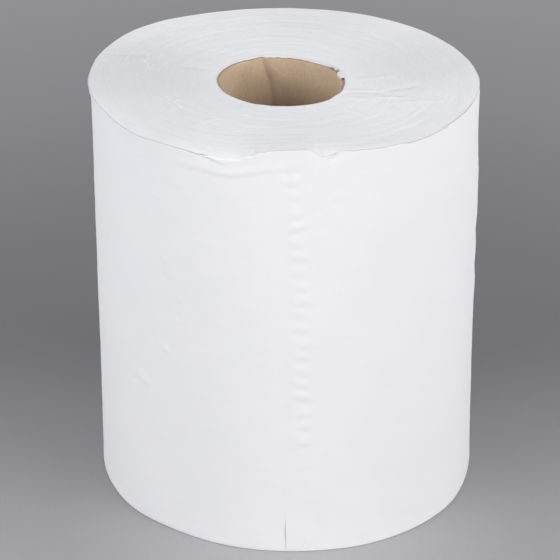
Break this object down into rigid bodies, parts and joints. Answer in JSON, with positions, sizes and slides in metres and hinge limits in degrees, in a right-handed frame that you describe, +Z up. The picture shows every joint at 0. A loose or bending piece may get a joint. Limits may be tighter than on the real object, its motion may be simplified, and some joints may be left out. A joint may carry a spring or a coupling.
{
  "type": "paper towel roll",
  "caption": "Wide centre-pull roll of white paper towel, wound on an open cardboard core and standing on one end.",
  "frame": {"origin": "centre of the lower end, on the surface the roll stands on", "axes": "+Z up along the axis of the core; -Y towards the free edge of the last turn, which is the front; +X to the right seen from the front"},
  "size_m": [0.1997, 0.2013, 0.2235],
  "materials": {
    "towel_paper": "matte",
    "core_board": "matte"
  },
  "bodies": {
    "root": {"paper_roll": "towel_paper", "cardboard_core": "core_board"}
  },
  "joints": []
}
